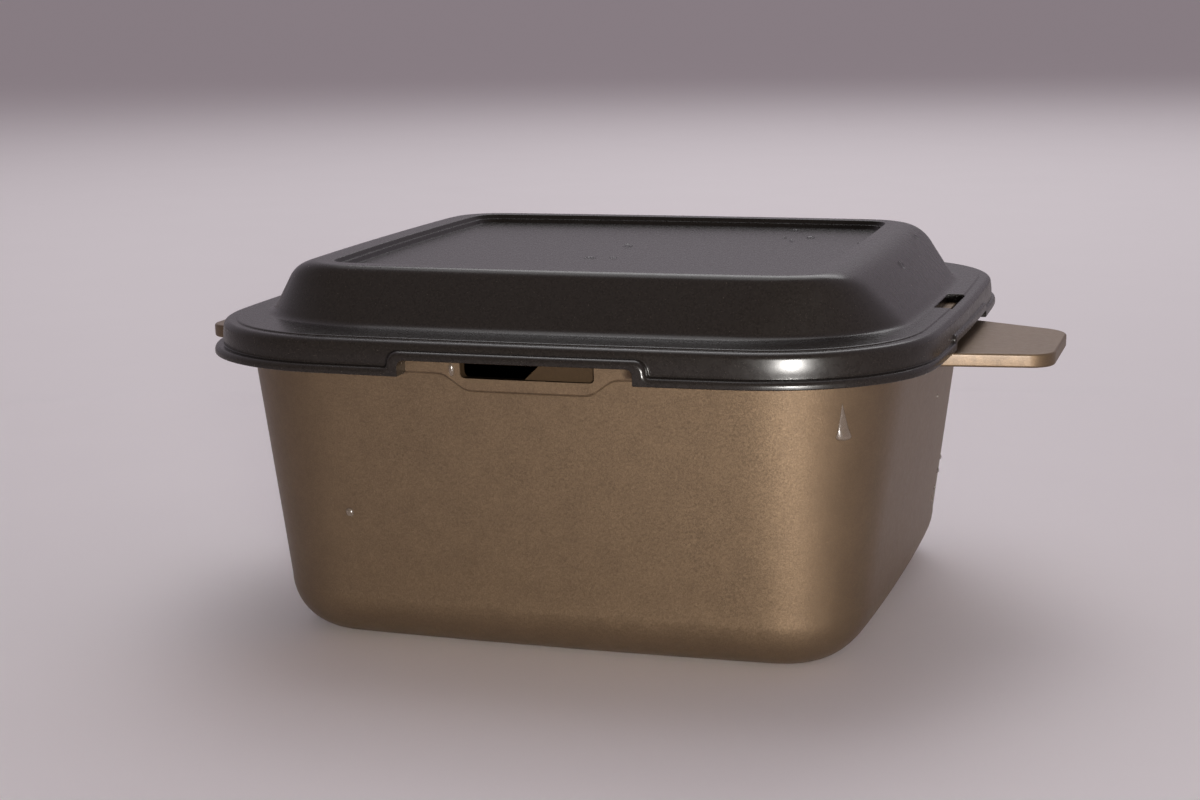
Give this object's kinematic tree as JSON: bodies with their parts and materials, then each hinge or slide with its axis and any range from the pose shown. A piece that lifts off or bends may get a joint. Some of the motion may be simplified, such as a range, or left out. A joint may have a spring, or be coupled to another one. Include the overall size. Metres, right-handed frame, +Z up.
{
  "type": "microwave cooking container",
  "caption": "Tapered square tub with side tabs and notched rim, under a domed lid with a deep skirt and stepped lip, for cooking in a microwave.",
  "frame": {"origin": "middle of the base, on the surface that the tub stands on", "axes": "+Z up, +X through the right-hand tab, -Y to the front that the picture shows"},
  "size_m": [0.2308, 0.1772, 0.0952],
  "materials": {
    "tub": "bronze pearl-flake moulding with a fine satin grain",
    "lid": "dark brown-grey moulding, fine satin grain, smoother on the top panel"
  },
  "bodies": {
    "root": {"tub": "tub", "lid": "lid"}
  },
  "joints": []
}
